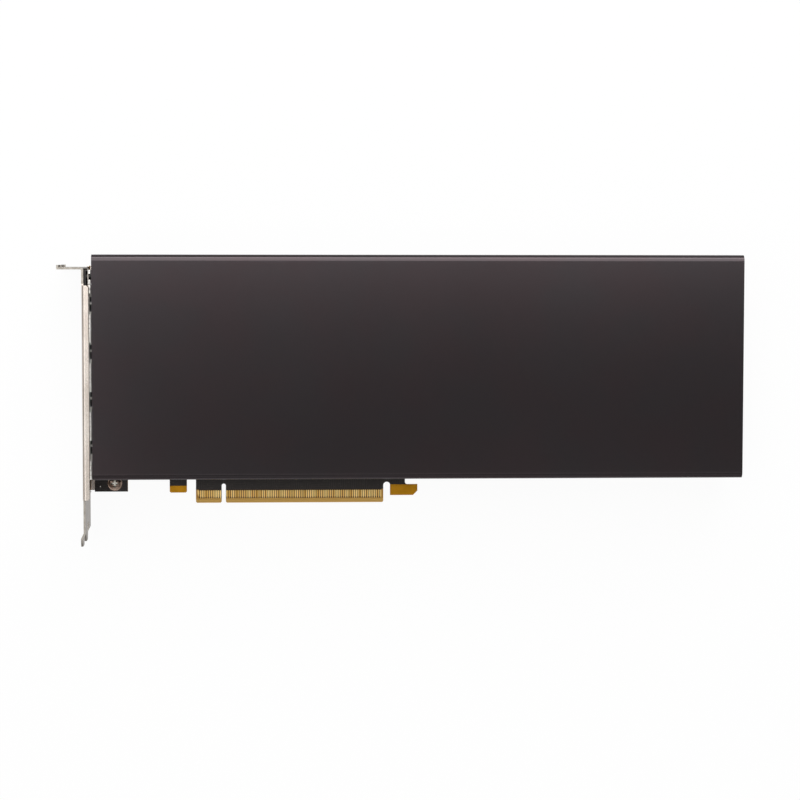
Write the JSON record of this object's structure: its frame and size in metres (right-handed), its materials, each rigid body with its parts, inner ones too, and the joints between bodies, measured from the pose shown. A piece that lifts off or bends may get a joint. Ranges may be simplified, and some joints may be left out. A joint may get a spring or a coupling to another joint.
{
  "type": "passive accelerator card",
  "caption": "Passively cooled add-in card for a server: folded dark cover over an open-ended fin stack, slot bracket with ear and tongues, edge connector along one side.",
  "frame": {"origin": "middle of the edge connector's key notch, at the fingers' lowest edge and the board's component face", "axes": "+X along the card from the slot bracket to the tail, +Y from the contact fingers to the card's top edge, +Z from the component face to the cover's face"},
  "size_m": [0.3029, 0.1288, 0.0387],
  "materials": {
    "cover_anodised": "satin brown-black anodised sheet",
    "bracket_plate": "bright plated steel sheet",
    "black_steel": "black electro-coated steel sheet",
    "board_mask": "black solder mask over laminate",
    "gold_contacts": "hard gold plating",
    "gold_plating": "soft gold plating",
    "port_steel": "nickel-plated steel",
    "steel_screw": "zinc-plated steel",
    "black_screw": "black zinc-plated steel",
    "nickel_boss": "nickel plating",
    "fin_aluminium": "mill-finish aluminium",
    "copper": "nickel-free copper",
    "substrate_green": "green package laminate",
    "silicon": "polished silicon",
    "chip_mould": "black moulding compound",
    "thermal_grey": "soft thermal pad",
    "choke_grey": "pressed powder core",
    "can_aluminium": "bright aluminium can",
    "black_plastic": "glass-filled nylon",
    "tin_pins": "tin plating"
  },
  "bodies": {
    "root": {"back_plate": "cover_anodised", "back_plate_screws": "black_screw", "brace_rivets": "steel_screw", "bracket_brace": "black_steel", "bracket_screws": "steel_screw", "can_capacitor_bases": "black_plastic", "can_capacitors": "can_aluminium", "chip_capacitors": "chip_mould", "choke_pads": "thermal_grey", "chokes": "choke_grey", "circuit_board": "board_mask", "contacts_component_side": "gold_contacts", "contacts_solder_side": "gold_contacts", "cover": "cover_anodised", "cover_screws": "black_screw", "fin_stack": "fin_aluminium", "gpu_die": "silicon", "gpu_retention_screws": "steel_screw", "gpu_stiffener": "nickel_boss", "gpu_substrate": "substrate_green", "ground_strip": "port_steel", "guide_plating": "gold_plating", "heat_sink_base": "fin_aluminium", "io_bracket": "bracket_plate", "memory_chips": "chip_mould", "memory_pads": "thermal_grey", "power_connector": "black_plastic", "power_connector_pins": "tin_pins", "power_stage_pad": "thermal_grey", "power_stages": "chip_mould", "rear_cooling_plate": "fin_aluminium", "rear_fin_stack": "fin_aluminium", "tail_bosses": "nickel_boss", "tail_frame": "black_steel", "thermal_interface": "thermal_grey", "vapour_chamber": "copper", "video_port_core_1": "black_plastic", "video_port_core_2": "black_plastic", "video_port_core_3": "black_plastic", "video_port_core_4": "black_plastic", "video_port_shell_1": "port_steel", "video_port_shell_2": "port_steel", "video_port_shell_3": "port_steel", "video_port_shell_4": "port_steel"}
  },
  "joints": []
}
